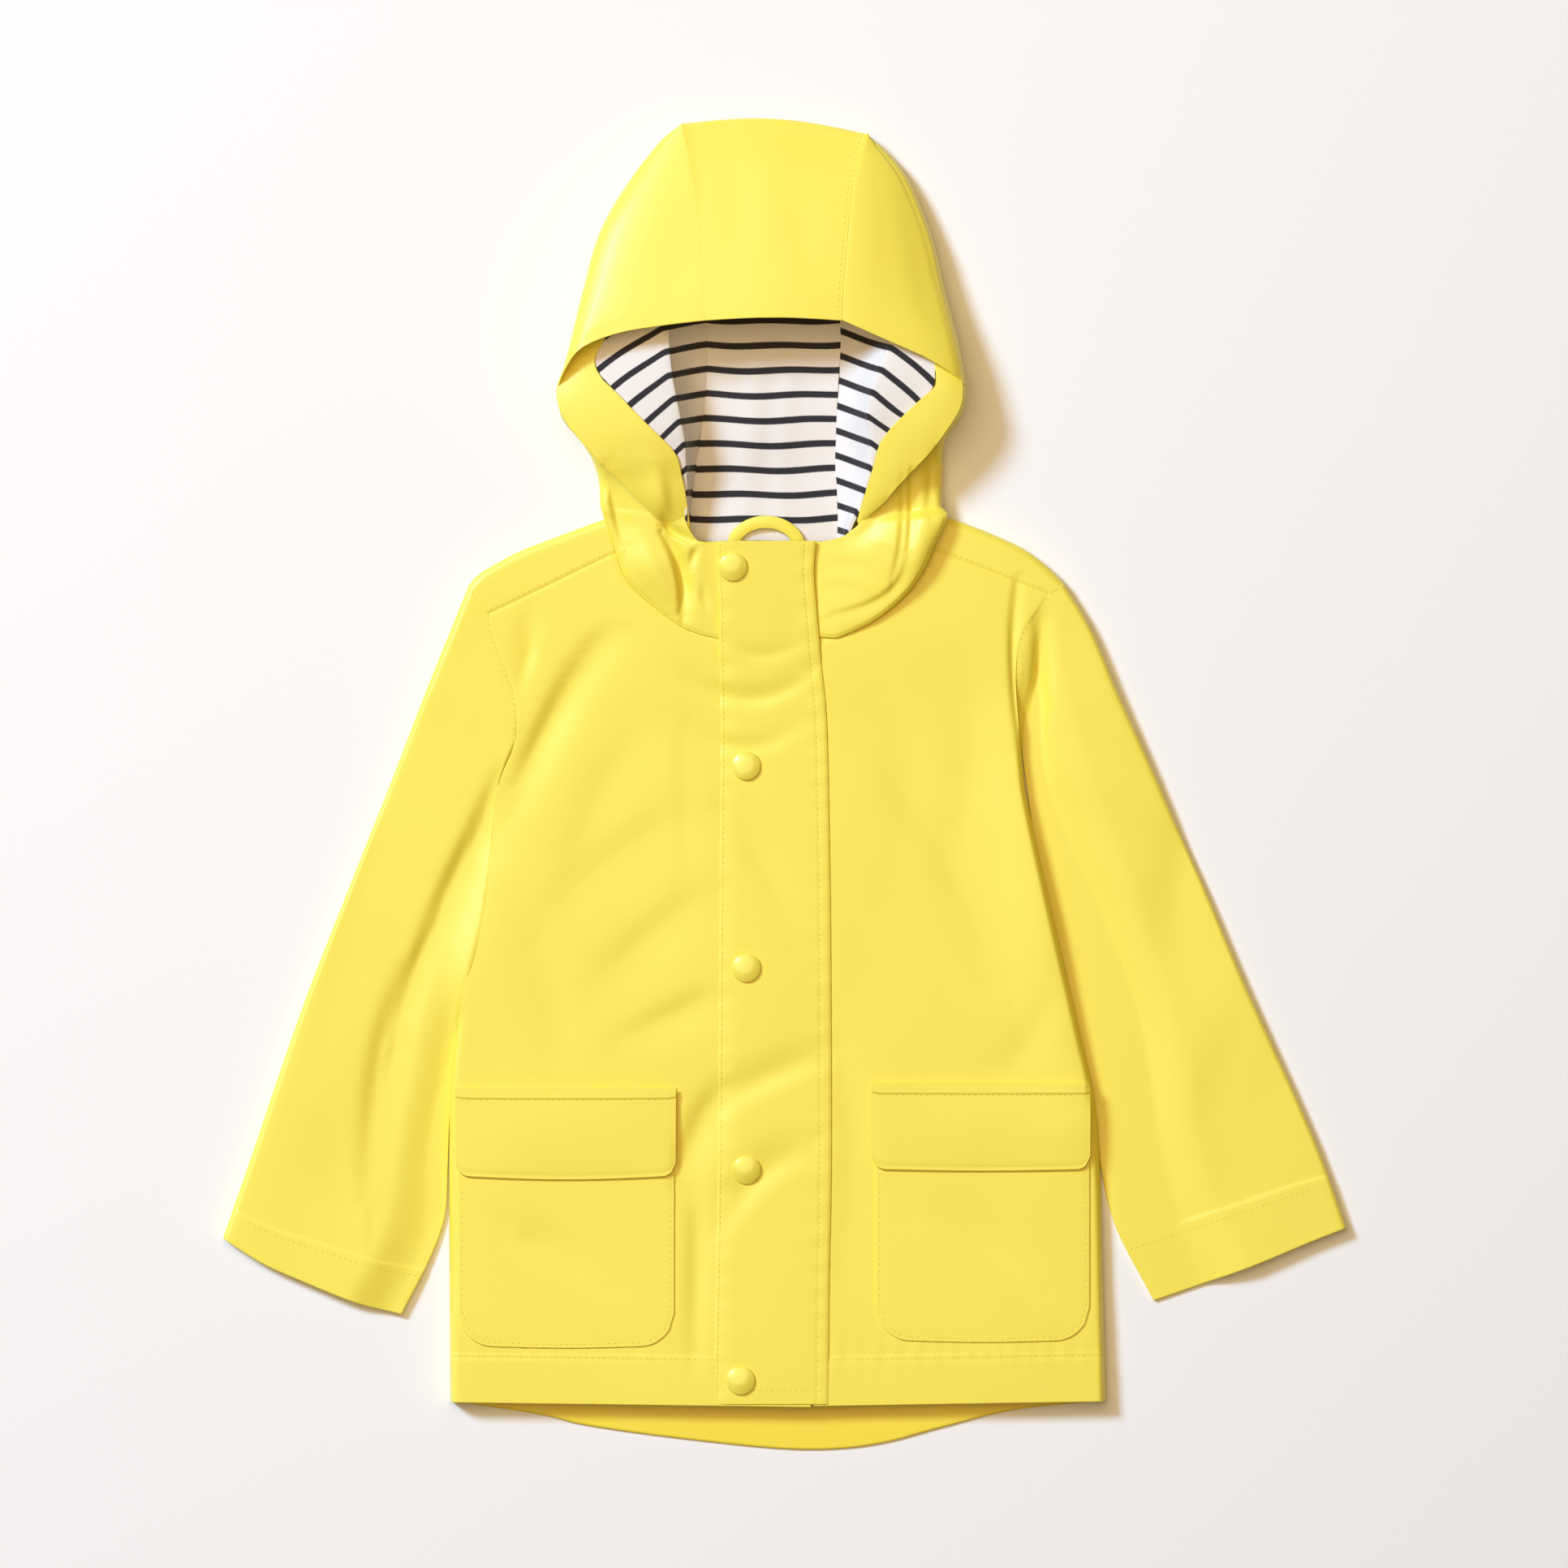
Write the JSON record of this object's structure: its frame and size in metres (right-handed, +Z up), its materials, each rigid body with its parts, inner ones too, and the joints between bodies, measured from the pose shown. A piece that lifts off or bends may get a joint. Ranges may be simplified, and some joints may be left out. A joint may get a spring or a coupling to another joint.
{
  "type": "kids raincoat",
  "caption": "Child's hooded raincoat in coated cloth, lying flat on its back with the placket snapped shut, flapped pockets and a striped hood lining.",
  "frame": {"origin": "middle of the coat's outline, on the surface that it lies on", "axes": "+Y runs from the hem to the top of the hood, +X to the right as seen from above, +Z up from the surface"},
  "size_m": [0.5832, 0.687, 0.0364],
  "materials": {
    "coated_cloth": "soft sheen of a thin plastic coating on woven cloth, sunny yellow",
    "lining": "matt cotton jersey, off-white with narrow near-black stripes across",
    "snap": "glossy domed cap in the coat's yellow"
  },
  "bodies": {
    "root": {"back": "coated_cloth", "front_left": "coated_cloth", "front_right": "coated_cloth", "sleeve_left": "coated_cloth", "sleeve_right": "coated_cloth", "hood_centre": "coated_cloth", "hood_left": "coated_cloth", "hood_right": "coated_cloth", "lining_centre": "lining", "lining_left": "lining", "lining_right": "lining", "facing_left": "coated_cloth", "facing_right": "coated_cloth", "hanging_loop": "coated_cloth", "pocket_left": "coated_cloth", "pocket_right": "coated_cloth", "pocket_flap_left": "coated_cloth", "pocket_flap_right": "coated_cloth", "placket": "coated_cloth", "snap_1": "snap", "snap_2": "snap", "snap_3": "snap", "snap_4": "snap", "snap_5": "snap"}
  },
  "joints": []
}
